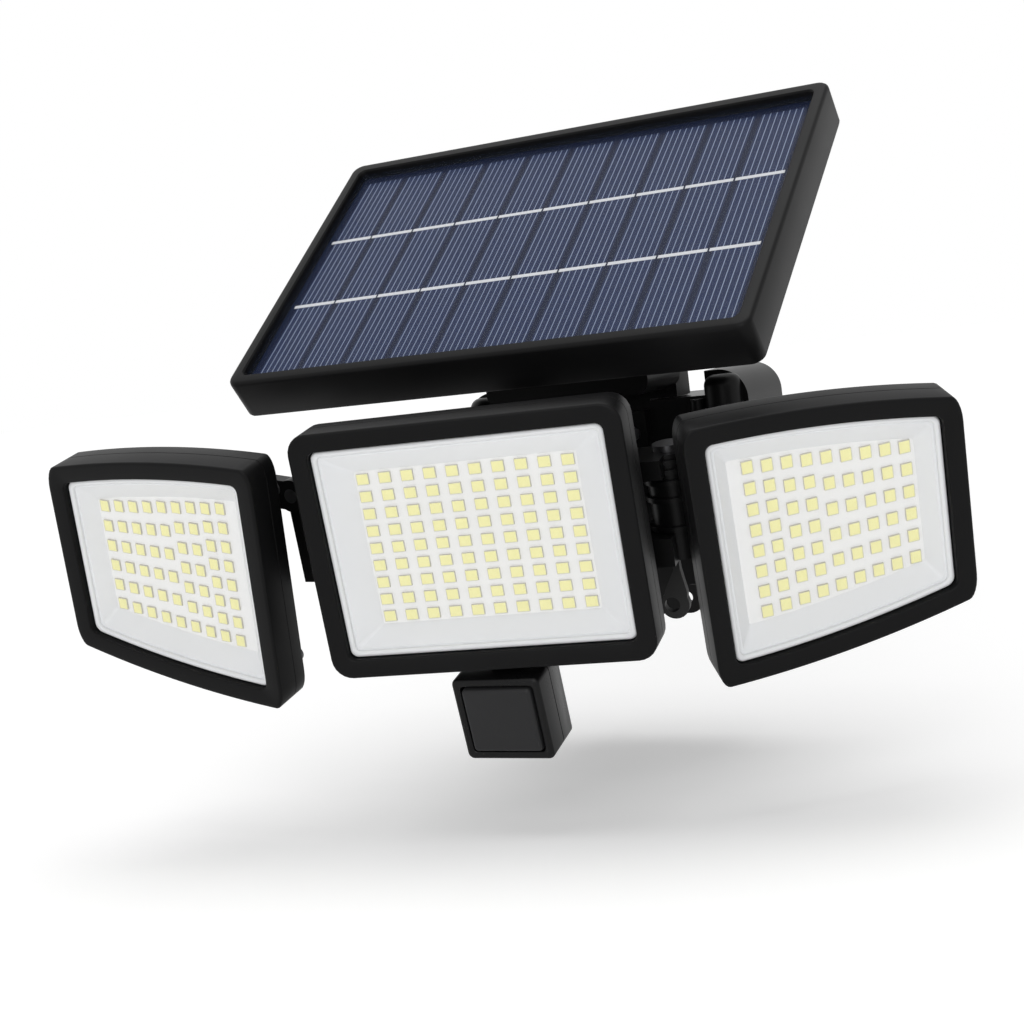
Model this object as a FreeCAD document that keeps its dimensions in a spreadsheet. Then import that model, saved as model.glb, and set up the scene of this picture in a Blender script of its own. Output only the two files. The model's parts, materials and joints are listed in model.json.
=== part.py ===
import FreeCAD, Part
import math
import os

# Wall mounted motion sensor security light: a solar panel on a tilting stand above a housing,
# and three lamp heads with a motion sensor on a swivel in front of it.
# Millimetres, +Z up, +X to the right seen from the front, the wall is the plane Y = 0.

Vector = FreeCAD.Vector
Rotation = FreeCAD.Rotation
Placement = FreeCAD.Placement
UP, RIGHT, BACKWARD = Vector(0, 0, 1), Vector(1, 0, 0), Vector(0, 1, 0)

doc = FreeCAD.newDocument("security_light")
sheet = doc.addObject("Spreadsheet::Sheet", "Dimensions")
NODES = []
SIZES = {}


def size(alias, value):
    """Write one driving dimension into the sheet."""
    row = len(SIZES) + 1
    sheet.set("A%d" % row, alias)
    sheet.set("B%d" % row, repr(float(value)))
    sheet.setAlias("B%d" % row, alias)
    SIZES[alias] = float(value)
    return float(value)


def bind(obj, prop, expression):
    """Bind a property to an expression of sheet aliases, or to a plain number."""
    text = str(expression)
    for alias in sorted(SIZES, key=len, reverse=True):
        text = replace_word(text, alias)
    obj.setExpression(prop, text)


def replace_word(text, alias):
    """Put the sheet's name before an alias wherever it stands as a whole word."""
    out, i = "", 0
    while i < len(text):
        before = text[i - 1] if i else " "
        after = text[i + len(alias)] if i + len(alias) < len(text) else " "
        whole = not (before.isalnum() or before in "_.") and not (after.isalnum() or after == "_")
        if text.startswith(alias, i) and whole:
            out += "Dimensions." + alias
            i += len(alias)
        else:
            out += text[i]
            i += 1
    return out


# ---------------------------------------------------------------- driving dimensions
# Places: the swivel stands this far in front of the wall, and the heads hang in the lamp frame.
swivel_reach = size("swivel_reach", 120.0)
lamp_yaw = size("lamp_yaw", 11.10)
lamp_tilt = size("lamp_tilt", 9.606)
swivel_back = size("swivel_back", 23.15)
left_out = size("left_out", 109.78)
left_behind = size("left_behind", 6.53)
left_drop = size("left_drop", 1.76)
right_out = size("right_out", 106.84)
right_behind = size("right_behind", 17.54)
right_drop = size("right_drop", 9.18)
# Lamp heads, seen from the front; depths are measured from the plane of the lights.
head_front = size("head_front", 8.0)
head_split = size("head_split", 0.5)
head_back = size("head_back", 6.5)
head_floor = size("head_floor", 2.4)
centre_wide = size("centre_wide", 107.0)
centre_high = size("centre_high", 81.0)
centre_corner = size("centre_corner", 6.5)
side_inner = size("side_inner", 43.4)
side_outer = size("side_outer", 40.3)
side_half = size("side_half", 42.8)
side_arc = size("side_arc", 360.0)
side_corner = size("side_corner", 7.5)
rim = size("rim", 6.1)
rim_fit = size("rim_fit", 0.2)
rim_round = size("rim_round", 0.8)
lip_wide = size("lip_wide", 1.9)
lip_top = size("lip_top", 5.8)
lip_step = size("lip_step", 4.4)
lens_thick = size("lens_thick", 0.8)
lens_fit = size("lens_fit", 0.15)
window_x = size("window_x", 17.3)
window_z = size("window_z", 15.2)
side_window_x = size("side_window_x", 13.2)
board_thick = size("board_thick", 1.6)
board_lap = size("board_lap", 3.0)
gasket_wide = size("gasket_wide", 2.0)
cavity = size("cavity", 6.4)
# Light chips.
chip_long = size("chip_long", 4.0)
chip_short = size("chip_short", 3.5)
chip_thick = size("chip_thick", 0.7)
chip_side_gap = size("chip_side_gap", 0.855)
chip_end_gap = size("chip_end_gap", 0.83)
side_chip_gap = size("side_chip_gap", 1.26)
# The columns of a side head, from its outer side inwards: share of the tallest column, and chips.
SIDE_COLUMNS = ((0.764, 6), (0.793, 6), (0.817, 6), (0.849, 6), (0.884, 6), (0.911, 7), (0.946, 7),
                (0.969, 8), (1.0, 8))
# Hinges.
run_fit = size("run_fit", 0.05)
face_gap = size("face_gap", 0.3)
pin_radius = size("pin_radius", 2.5)
barrel_x = size("barrel_x", 56.0)
barrel_y = size("barrel_y", 34.0)
barrel_radius = size("barrel_radius", 8.0)
barrel_pin = size("barrel_pin", 3.0)
barrel_top = size("barrel_top", 14.0)
band_out = size("band_out", 1.2)
band_high = size("band_high", 1.6)
gusset_in = size("gusset_in", 10.0)
sleeve_top = size("sleeve_top", 7.4)
sleeve_low = size("sleeve_low", -11.0)
barrel_low = size("barrel_low", -20.5)
flap_x = size("flap_x", 15.0)
flap_z = size("flap_z", 12.0)
flap_radius = size("flap_radius", 5.6)
flap_thick = size("flap_thick", 4.0)
arm_thick = size("arm_thick", 5.0)
arm_half = size("arm_half", 5.0)
ear_radius = size("ear_radius", 5.0)
ear_thick = size("ear_thick", 3.0)
tongue_half = size("tongue_half", 5.7)
head_pin_back = size("head_pin_back", 13.0)
# Swivel knuckle.
spindle_radius = size("spindle_radius", 4.0)
knuckle_radius = size("knuckle_radius", 7.0)
arm_low = size("arm_low", 12.0)
arm_high = size("arm_high", 24.0)
cap_thick = size("cap_thick", 2.5)
block_half = size("block_half", 6.0)
yoke_ear = size("yoke_ear", 5.0)
yoke_wide = size("yoke_wide", 42.0)
yoke_low = size("yoke_low", -22.0)
yoke_high = size("yoke_high", 10.0)
yoke_rear = size("yoke_rear", 28.0)
yoke_slot = size("yoke_slot", 14.5)
# Sensor.
sensor_wide = size("sensor_wide", 30.0)
sensor_high = size("sensor_high", 28.5)
sensor_deep = size("sensor_deep", 18.3)
sensor_seam = size("sensor_seam", 9.4)
sensor_wall = size("sensor_wall", 1.6)
sensor_drop = size("sensor_drop", 58.14)
sensor_ahead = size("sensor_ahead", 11.36)
sensor_yaw = size("sensor_yaw", -5.93)
sensor_tip = size("sensor_tip", 4.93)
socket_low = size("socket_low", 0.6)
sensor_inset = size("sensor_inset", 2.6)
stem_radius = size("stem_radius", 3.0)
stem_collar = size("stem_collar", 5.6)
socket_radius = size("socket_radius", 4.6)
stem_x = size("stem_x", 0.57)
stem_y = size("stem_y", 5.3)
# Solar panel.
panel_wide = size("panel_wide", 190.0)
panel_long = size("panel_long", 124.5)
panel_thick = size("panel_thick", 15.6)
panel_tilt = size("panel_tilt", 37.31)
panel_y = size("panel_y", -78.67)
panel_z = size("panel_z", 93.53)
panel_corner = size("panel_corner", 4.0)
panel_rim = size("panel_rim", 4.6)
panel_wall = size("panel_wall", 2.4)
glass_sunk = size("glass_sunk", 1.8)
glass_thick = size("glass_thick", 2.0)
cell_thick = size("cell_thick", 0.6)
hinge_y = size("hinge_y", -55.0)
hinge_z = size("hinge_z", 80.0)
hinge_radius = size("hinge_radius", 6.2)
hinge_pin = size("hinge_pin", 3.0)
hinge_lug = size("hinge_lug", 10.0)
hinge_ear = size("hinge_ear", 5.0)
base_wide = size("base_wide", 64.0)
base_long = size("base_long", 46.0)
base_thick = size("base_thick", 2.4)
# Housing on the wall.
plate_half_x = size("plate_half_x", 56.0)
plate_half_z = size("plate_half_z", 39.5)
plate_thick = size("plate_thick", 6.0)
plate_corner = size("plate_corner", 10.5)
plate_hole = size("plate_hole", 2.3)
hole_x = size("hole_x", 12.0)
hole_z = size("hole_z", 46.0)
ear_half_x = size("ear_half_x", 18.0)
ear_half_z = size("ear_half_z", 52.0)
notch_in = size("notch_in", 19.0)
notch_out = size("notch_out", 40.6)
notch_low = size("notch_low", 31.0)
house_half_x = size("house_half_x", 56.0)
house_low = size("house_low", -36.0)
house_high = size("house_high", 39.5)
house_front = size("house_front", 34.0)
house_wall = size("house_wall", 2.5)
house_corner = size("house_corner", 10.5)
column_x = size("column_x", 47.2)
column_radius = size("column_radius", 6.7)
column_top = size("column_top", 38.0)
neck_high = size("neck_high", 64.0)
stand_half = size("stand_half", 31.5)
stand_front = size("stand_front", 62.0)
stand_low = size("stand_low", 35.0)
stand_high = size("stand_high", 70.0)
stand_round = size("stand_round", 5.0)
seal_thick = size("seal_thick", 1.2)
cell_radius = size("cell_radius", 9.1)
cell_long = size("cell_long", 65.0)
button_radius = size("button_radius", 4.0)
screw_shank = size("screw_shank", 1.3)
screw_head = size("screw_head", 2.5)
screw_deep = size("screw_deep", 1.3)
screw_inset = size("screw_inset", 3.2)


# ---------------------------------------------------------------- building blocks
def box(name, x0, x1, y0, y1, z0, z1):
    """A Part box between two corners, each a number or an expression of the sheet."""
    obj = doc.addObject("Part::Box", name)
    bind(obj, "Length", "(%s) - (%s)" % (x1, x0))
    bind(obj, "Width", "(%s) - (%s)" % (y1, y0))
    bind(obj, "Height", "(%s) - (%s)" % (z1, z0))
    bind(obj, "Placement.Base.x", x0)
    bind(obj, "Placement.Base.y", y0)
    bind(obj, "Placement.Base.z", z0)
    return obj


def rod(name, axis, radius, low, high, x=0, y=0, z=0):
    """A Part cylinder along one axis; low and high are its ends on that axis."""
    obj = doc.addObject("Part::Cylinder", name)
    bind(obj, "Radius", radius)
    bind(obj, "Height", "(%s) - (%s)" % (high, low))
    turn = {"X": Rotation(BACKWARD, 90), "Y": Rotation(RIGHT, -90), "Z": Rotation()}[axis]
    obj.Placement = Placement(Vector(), turn)
    base = {"X": x, "Y": y, "Z": z}
    base[axis] = low
    bind(obj, "Placement.Base.x", base["X"])
    bind(obj, "Placement.Base.y", base["Y"])
    bind(obj, "Placement.Base.z", base["Z"])
    return obj


def fuse(name, *parts):
    obj = doc.addObject("Part::MultiFuse", name)
    obj.Shapes = list(parts)
    obj.Refine = True
    return obj


def cut(name, body, *tools):
    tool = tools[0] if len(tools) == 1 else fuse(name + "_tools", *tools)
    obj = doc.addObject("Part::Cut", name)
    obj.Base = body
    obj.Tool = tool
    obj.Refine = True
    return obj


def common(name, *parts):
    obj = doc.addObject("Part::MultiCommon", name)
    obj.Shapes = list(parts)
    return obj


def rounded(name, base, radius, chosen):
    """Fillet the edges of base that the test picks."""
    doc.recompute()
    numbers = [i + 1 for i, edge in enumerate(base.Shape.Edges) if chosen(edge)]
    obj = doc.addObject("Part::Fillet", name)
    obj.Base = base
    obj.Edges = [(i, radius, radius) for i in numbers]
    return obj


def along(axis):
    """Test for straight edges that run along an axis."""
    def test(edge):
        if edge.Curve.TypeId != "Part::GeomLine":
            return False
        return abs(abs(edge.Curve.Direction.dot(axis)) - 1) < 1e-6
    return test


def at_height(level):
    """Test for edges that lie at one local height."""
    def test(edge):
        box_ = edge.BoundBox
        return abs(box_.ZMin - level) < 1e-4 and abs(box_.ZMax - level) < 1e-4
    return test


def node(obj, label, place=None):
    """Name a finished sub-part and put it in its place."""
    if place is not None:
        if obj.TypeId in ("Part::Box", "Part::Cylinder"):
            doc.recompute()
            for axis in "xyz":
                obj.setExpression("Placement.Base." + axis, None)
        obj.Placement = place.multiply(obj.Placement)
    obj.Label = label
    NODES.append(obj)
    return obj


def role_plane(body, role):
    return [f for f in body.Origin.OriginFeatures if f.Role == role][0]


def new_sketch(body, name, role="XY_Plane", lift=0):
    sketch = body.newObject("Sketcher::SketchObject", name)
    sketch.AttachmentSupport = [(role_plane(body, role), "")]
    sketch.MapMode = "FlatFace"
    bind(sketch, "AttachmentOffset.Base.z", lift)
    return sketch


def add_rectangle(sketch, wide, high, x=0, y=0):
    """A rectangle with its size and its centre bound to the sheet."""
    import Sketcher
    first = sketch.GeometryCount
    corners = [Vector(-5, -5, 0), Vector(5, -5, 0), Vector(5, 5, 0), Vector(-5, 5, 0)]
    for k in range(4):
        sketch.addGeometry(Part.LineSegment(corners[k], corners[(k + 1) % 4]), False)
    for k in range(4):
        sketch.addConstraint(Sketcher.Constraint("Coincident", first + k, 2, first + (k + 1) % 4, 1))
    for k, kind in enumerate(("Horizontal", "Vertical", "Horizontal", "Vertical")):
        sketch.addConstraint(Sketcher.Constraint(kind, first + k))
    for kind, args, value in (
            ("DistanceX", (first, 1, first, 2), wide), ("DistanceY", (first + 1, 1, first + 1, 2), high),
            ("DistanceX", (-1, 1, first, 2), "(%s) + (%s) / 2" % (x, wide)),
            ("DistanceY", (-1, 1, first + 1, 2), "(%s) + (%s) / 2" % (y, high))):
        number = sketch.addConstraint(Sketcher.Constraint(kind, *(args + (5.0,))))
        bind(sketch, "Constraints[%d]" % number, value)


def add_circle(sketch, radius, x=0, y=0, sign_x=1, sign_y=1):
    """A circle bound to the sheet; the signs say on which side of the origin it lies."""
    import Sketcher
    number = sketch.addGeometry(Part.Circle(Vector(20 * sign_x, 20 * sign_y, 0), UP, 2), False)
    rule = sketch.addConstraint(Sketcher.Constraint("Radius", number, 2.0))
    bind(sketch, "Constraints[%d]" % rule, radius)
    for kind, value, sign in (("DistanceX", x, sign_x), ("DistanceY", y, sign_y)):
        ends = (-1, 1, number, 3) if sign > 0 else (number, 3, -1, 1)
        rule = sketch.addConstraint(Sketcher.Constraint(kind, *(ends + (20.0,))))
        bind(sketch, "Constraints[%d]" % rule, value)


def pad(body, sketch, name, length, back=False):
    feature = body.newObject("PartDesign::Pad", name)
    feature.Profile = sketch
    bind(feature, "Length", length)
    feature.Reversed = back
    doc.recompute()
    return feature


def pocket(body, sketch, name, length):
    """Cut a profile downwards into the body, and see that it takes something away."""
    before = body.Shape.Volume
    feature = body.newObject("PartDesign::Pocket", name)
    feature.Profile = sketch
    bind(feature, "Length", length)
    doc.recompute()
    if not feature.Shape.Volume < before - 1e-3:
        feature.Reversed = True
        doc.recompute()
    if not feature.Shape.Volume < before - 1e-3:
        raise RuntimeError(name + " cuts nothing")
    return feature


def fillet(body, base, name, radius, chosen):
    feature = body.newObject("PartDesign::Fillet", name)
    names = ["Edge%d" % (i + 1) for i, edge in enumerate(base.Shape.Edges) if chosen(edge)]
    feature.Base = (base, names)
    bind(feature, "Radius", radius)
    doc.recompute()
    return feature


# ---------------------------------------------------------------- places
ON_FACE = Rotation(RIGHT, 90)      # local z points to the front, local y up


def turned(*turns):
    out = Rotation()
    for axis, degrees in turns:
        out = out.multiply(Rotation(axis, degrees))
    return out


SWIVEL = Placement(Vector(0, -swivel_reach, 0), Rotation(UP, lamp_yaw))
LAMP = SWIVEL.multiply(Placement(Vector(0, -swivel_back, 0), Rotation(RIGHT, lamp_tilt)))
TILT_PIN_Y = swivel_back * math.cos(math.radians(lamp_tilt))
TILT_PIN_Z = -swivel_back * math.sin(math.radians(lamp_tilt))
# Each side head: where its centre lies in the lamp frame, and its yaw, roll and tilt there.
HEADS = {
    "left": dict(sign=-1, centre=Vector(-left_out, left_behind, -left_drop), yaw=-12.05, roll=9.09, tilt=5.44),
    "right": dict(sign=1, centre=Vector(right_out, right_behind, -right_drop), yaw=24.29, roll=-2.03, tilt=8.19),
}
for head in HEADS.values():
    s = head["sign"]
    head["sleeve"] = LAMP.multiply(Placement(Vector(s * barrel_x, barrel_y, 0), Rotation(UP, head["yaw"])))
    flap = Placement(Vector(s * flap_x, 0, flap_z), Rotation(BACKWARD, head["roll"]))
    head["arm"] = head["sleeve"].multiply(flap)
    lie = turned((UP, head["yaw"]), (BACKWARD, head["roll"]), (RIGHT, head["tilt"]))
    head["head"] = LAMP.multiply(Placement(head["centre"], lie))
    pin = head["head"].multVec(Vector(0, head_pin_back, 0))
    head["pin"] = head["arm"].inverse().multVec(pin)
HEADS["centre"] = dict(sign=0, head=LAMP)


# ---------------------------------------------------------------- outlines of the heads
def head_block(name, which, inset_x, inset_z, low, high, corner=None):
    """A block with a head's outline drawn in by an inset, between two local heights."""
    if which == "centre":
        half_x = "centre_wide / 2 - (%s)" % inset_x
        half_z = "centre_high / 2 - (%s)" % inset_z
        block = box(name + "_slab", "-(%s)" % half_x, half_x, "-(%s)" % half_z, half_z, low, high)
    else:
        s = HEADS[which]["sign"]
        inner, outer = "side_inner - (%s)" % inset_x, "side_outer - (%s)" % inset_x
        west, east = (inner, outer) if s > 0 else (outer, inner)
        slab = box(name + "_slab", "-(%s)" % west, east, "-side_half", "side_half", low, high)
        middle = "%d * side_inner" % -s
        arc = "side_arc - (%s)" % inset_z
        top = rod(name + "_top", "Z", arc, low, high, x=middle, y="side_half - side_arc")
        bottom = rod(name + "_bottom", "Z", arc, low, high, x=middle, y="side_arc - side_half")
        block = common(name + "_block", slab, top, bottom)
    if corner is None:
        return block
    return rounded(name + "_corners", block, corner, along(UP))


def head_wire(which, inset_x, inset_z, level):
    """The same outline as a closed wire of lines and arcs, for the sloping reflector."""
    if which == "centre":
        hx, hz = centre_wide / 2 - inset_x, centre_high / 2 - inset_z
        points = [Vector(-hx, -hz, level), Vector(hx, -hz, level), Vector(hx, hz, level), Vector(-hx, hz, level)]
        return Part.makePolygon(points + points[:1])
    s = HEADS[which]["sign"]
    x_in, x_out = -s * (side_inner - inset_x), s * (side_outer - inset_x)
    radius = side_arc - inset_z
    drop = side_arc - side_half

    def high(x):
        return math.sqrt(radius ** 2 - (x + s * side_inner) ** 2) - drop
    mid = (x_in + x_out) / 2
    a, b = Vector(x_in, -high(x_in), level), Vector(x_out, -high(x_out), level)
    c, d = Vector(x_out, high(x_out), level), Vector(x_in, high(x_in), level)
    low_arc = Part.Arc(a, Vector(mid, -high(mid), level), b).toShape()
    top_arc = Part.Arc(c, Vector(mid, high(mid), level), d).toShape()
    return Part.Wire([low_arc, Part.makeLine(b, c), top_arc, Part.makeLine(d, a)])


def screw_places(which):
    """Where a head's four screws stand, in the thick of its rim."""
    if which == "centre":
        x, z = centre_wide / 2 - screw_inset, centre_high / 2 - screw_inset - 6
        return [(-x, -z), (x, -z), (x, z), (-x, z)]
    s = HEADS[which]["sign"]
    inner, outer = -s * (side_inner - screw_inset), s * (side_outer - screw_inset)
    return [(inner, -30.0), (inner, 30.0), (outer, -20.0), (outer, 20.0)]


# ---------------------------------------------------------------- the pieces of a head
def make_bezel(which):
    """Black frame round the front, open in the middle, with a rounded front edge."""
    corner = centre_corner if which == "centre" else side_corner
    outer = head_block(which + "_rim", which, 0, 0, "-head_split", "head_front", corner)
    soft = rounded(which + "_rim_soft", outer, rim_round, at_height(head_front))
    hole = head_block(which + "_hole", which, "rim", "rim", "-head_split - 1", "head_front + 1", 2.5)
    holes = [rod("%s_post%d" % (which, i), "Z", "screw_shank", "-head_split - 1", 1, x=x, y=z)
             for i, (x, z) in enumerate(screw_places(which))]
    bezel = cut(which + "_bezel", soft, hole, *holes)
    node(bezel, which + "_bezel", HEADS[which]["head"].multiply(Placement(Vector(), ON_FACE)))


def make_back(which):
    """Black cup behind the frame; side heads carry two hinge ears, the middle one a sensor socket."""
    corner = centre_corner if which == "centre" else side_corner
    outer = head_block(which + "_cup", which, 0, 0, "-head_back", "-head_split", corner)
    soft = rounded(which + "_cup_soft", outer, rim_round, at_height(-head_back))
    well = head_block(which + "_well", which, "cavity", "cavity", "-head_back + head_floor", "1", 2.5)
    tools = [well]
    for i, (x, z) in enumerate(screw_places(which)):
        tools.append(rod("%s_bore%d" % (which, i), "Z", "screw_shank", "-head_back - 1", 1, x=x, y=z))
    solids = [soft]
    if which == "centre":
        solids.append(rod("sensor_socket", "Y", "socket_radius", "-centre_high / 2 - socket_low", "-centre_high / 2 + 6",
                          x="stem_x", z="-stem_y"))
        tools.append(rod("sensor_bore", "Y", "stem_radius + run_fit", "-centre_high / 2 - 3",
                         "-centre_high / 2 + 7", x="stem_x", z="-stem_y"))
    else:
        for k, s in enumerate((-1, 1)):
            near, far = "tongue_half + face_gap", "tongue_half + face_gap + ear_thick"
            x0, x1 = (near, far) if s > 0 else ("-(%s)" % far, "-(%s)" % near)
            solids.append(box("%s_ear%d" % (which, k), x0, x1, "-ear_radius", "ear_radius",
                              "-head_pin_back", "-head_back + 1"))
            solids.append(rod("%s_eye%d" % (which, k), "X", "ear_radius", x0, x1, z="-head_pin_back"))
        tools.append(rod(which + "_eye_bore", "X", "pin_radius", -20, 20, z="-head_pin_back"))
    back = cut(which + "_back", fuse(which + "_back_body", *solids), *tools)
    node(back, which + "_back", HEADS[which]["head"].multiply(Placement(Vector(), ON_FACE)))


def make_reflector(which):
    """White frame with a raised lip and four slopes down to the board of lights."""
    wx = window_x if which == "centre" else side_window_x
    ring = head_block(which + "_flange", which, "rim + rim_fit", "rim + rim_fit", "0", "lip_top", 2.3)
    lip = head_block(which + "_lip", which, "rim + rim_fit + lip_wide", "rim + rim_fit + lip_wide",
                     "lip_step", "lip_top + 1", 1.4)
    slope = doc.addObject("Part::Feature", which + "_slope")
    edge = rim + rim_fit + lip_wide + 0.9
    lower = head_wire(which, wx, window_z, -0.01)
    upper = head_wire(which, edge, edge, lip_step + 0.01)
    slope.Shape = Part.makeLoft([lower, upper], True, True)
    reflector = cut(which + "_reflector", ring, lip, slope)
    node(reflector, which + "_reflector", HEADS[which]["head"].multiply(Placement(Vector(), ON_FACE)))


def make_lens(which):
    """Clear cover that drops into the reflector's lip."""
    inset = "rim + rim_fit + lip_wide + lens_fit"
    lens = head_block(which + "_lens", which, inset, inset, "lip_step", "lip_step + lens_thick", 1.2)
    node(lens, which + "_lens", HEADS[which]["head"].multiply(Placement(Vector(), ON_FACE)))


def make_board(which):
    """White circuit board behind the reflector's window."""
    wx = "window_x - board_lap" if which == "centre" else "side_window_x - board_lap"
    board = head_block(which + "_board", which, wx, "window_z - board_lap", "-board_thick", "0", 1.0)
    node(board, which + "_board", HEADS[which]["head"].multiply(Placement(Vector(), ON_FACE)))


def chip_places(which):
    """Centres of the light chips in a head, on straight rows or on fanned columns."""
    if which == "centre":
        reach_x = centre_wide / 2 - window_x - chip_side_gap - chip_long / 2
        reach_z = centre_high / 2 - window_z - chip_end_gap - chip_short / 2
        return [(reach_x * (2 * i / 9 - 1), reach_z * (2 * j / 8 - 1)) for i in range(10) for j in range(9)]
    s = HEADS[which]["sign"]
    reach_x = side_outer - side_window_x - side_chip_gap - chip_short / 2
    tallest = side_half - window_z - side_chip_gap - chip_long / 2 - 0.24
    out = []
    for i, (share, count) in enumerate(SIDE_COLUMNS):
        out += [(s * reach_x * (1 - i / 4), tallest * share * (2 * j / (count - 1) - 1)) for j in range(count)]
    return out


def make_leds(which):
    """The rows of light chips on the board; those of the side heads stand upright."""
    leds = doc.addObject("Part::Feature", which + "_leds")
    dx, dz = (chip_long, chip_short) if which == "centre" else (chip_short, chip_long)
    chips = [Part.makeBox(dx, dz, chip_thick, Vector(x - dx / 2, z - dz / 2, 0)) for x, z in chip_places(which)]
    leds.Shape = Part.makeCompound(chips)
    node(leds, which + "_leds", HEADS[which]["head"].multiply(Placement(Vector(), ON_FACE)))


def make_screws(which):
    """Four screws that hold the cup to the frame."""
    parts = []
    for i, (x, z) in enumerate(screw_places(which)):
        shank = rod("%s_shank%d" % (which, i), "Z", "screw_shank", "-head_back", "0.5", x=x, y=z)
        top = rod("%s_screw_top%d" % (which, i), "Z", "screw_head", "-head_back - screw_deep", "-head_back",
                  x=x, y=z)
        parts.append(fuse("%s_screw%d" % (which, i), shank, top))
    screws = doc.addObject("Part::Compound", which + "_screws")
    screws.Links = parts
    node(screws, which + "_screws", HEADS[which]["head"].multiply(Placement(Vector(), ON_FACE)))


def make_head(which):
    make_bezel(which)
    make_back(which)
    make_reflector(which)
    make_lens(which)
    make_board(which)
    make_leds(which)
    make_screws(which)


# ---------------------------------------------------------------- hinges of the side heads
def make_sleeve(which):
    """Sleeve that turns on the barrel pin and carries the flap hinge on its outer side."""
    s = HEADS[which]["sign"]
    barrel = rod(which + "_barrel", "Z", "barrel_radius", "sleeve_low", "sleeve_top")
    span = lambda a, b: (a, b) if s > 0 else ("-(%s)" % b, "-(%s)" % a)
    x0, x1 = span("0", "flap_x")
    web = box(which + "_web", x0, x1, "-flap_thick", "flap_thick", "sleeve_low", "3")
    x0, x1 = span("flap_x - flap_radius + 0.4", "flap_x + flap_radius")
    post = box(which + "_post", x0, x1, "-flap_thick", "flap_thick", "-6", "flap_z")
    x0, x1 = span("gusset_in", "flap_x + flap_radius")
    gusset = box(which + "_gusset", x0, x1, "-flap_thick", "flap_thick", "barrel_low", "0")
    bands = [rod("%s_band%d" % (which, k), "Z", "barrel_radius + band_out", low, low + " + band_high")
             for k, low in enumerate(("sleeve_low", "-1.5", "sleeve_top - band_high - 1.6"))]
    boss = rod(which + "_boss", "Y", "flap_radius", "-flap_thick", "flap_thick",
               x="%d * flap_x" % s, z="flap_z")
    barrel_bore = rod(which + "_barrel_bore", "Z", "barrel_pin + run_fit", -30, 30)
    flap_bore = rod(which + "_flap_bore", "Y", "pin_radius + run_fit", -20, 20,
                    x="%d * flap_x" % s, z="flap_z")
    sleeve = cut(which + "_sleeve", fuse(which + "_sleeve_body", barrel, web, post, boss, gusset, *bands),
                 barrel_bore, flap_bore)
    node(sleeve, which + "_sleeve", HEADS[which]["sleeve"])


def make_arm(which):
    """Flat arm from the flap hinge to the tongue of the head's own tilt hinge."""
    s, pin = HEADS[which]["sign"], HEADS[which]["pin"]
    front = "-flap_thick - face_gap - arm_thick"
    rear = "-flap_thick - face_gap"
    disc = rod(which + "_disc", "Y", "flap_radius", front, rear)
    span = lambda a, b: (a, b) if s > 0 else ("-(%s)" % b, "-(%s)" % a)
    reach = abs(pin.x)
    x0, x1 = span("0", "%.4f + arm_half" % reach)
    top = box(which + "_arm_top", x0, x1, front, rear, -5, 5)
    x0, x1 = span("%.4f - tongue_half" % reach, "%.4f + tongue_half" % reach)
    down = box(which + "_arm_down", x0, x1, front, rear, "%.4f - ear_radius" % pin.z, 5)
    tongue = box(which + "_tongue", x0, x1, "%.4f" % pin.y, rear,
                 "%.4f - ear_radius" % pin.z, "%.4f + ear_radius" % pin.z)
    nose = rod(which + "_nose", "X", "ear_radius", x0, x1, y="%.4f" % pin.y, z="%.4f" % pin.z)
    flap_bore = rod(which + "_arm_flap_bore", "Y", "pin_radius", -20, 20)
    tilt_bore = rod(which + "_arm_tilt_bore", "X", "pin_radius + run_fit", -60, 60,
                    y="%.4f" % pin.y, z="%.4f" % pin.z)
    arm = cut(which + "_arm", fuse(which + "_arm_body", disc, top, down, tongue, nose), flap_bore, tilt_bore)
    node(arm, which + "_arm", HEADS[which]["arm"])


def make_hinge_pins(which):
    """Flap pin fixed in the arm, tilt pin fixed in the head's ears."""
    shaft = rod(which + "_flap_shaft", "Y", "pin_radius", "-flap_thick - face_gap - arm_thick",
                "flap_thick + face_gap")
    collar = rod(which + "_flap_collar", "Y", "pin_radius + 1.6", "flap_thick + face_gap",
                 "flap_thick + face_gap + 2")
    node(fuse(which + "_flap_pin", shaft, collar), which + "_flap_pin", HEADS[which]["arm"])
    reach = "tongue_half + face_gap + ear_thick"
    shaft = rod(which + "_tilt_shaft", "X", "pin_radius", "-(%s)" % reach, reach, z="-head_pin_back")
    knob = rod(which + "_tilt_head", "X", "pin_radius + 1.4", reach, reach + " + 1.8", z="-head_pin_back")
    node(fuse(which + "_tilt_pin", shaft, knob), which + "_tilt_pin",
         HEADS[which]["head"].multiply(Placement(Vector(), ON_FACE)))


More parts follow.
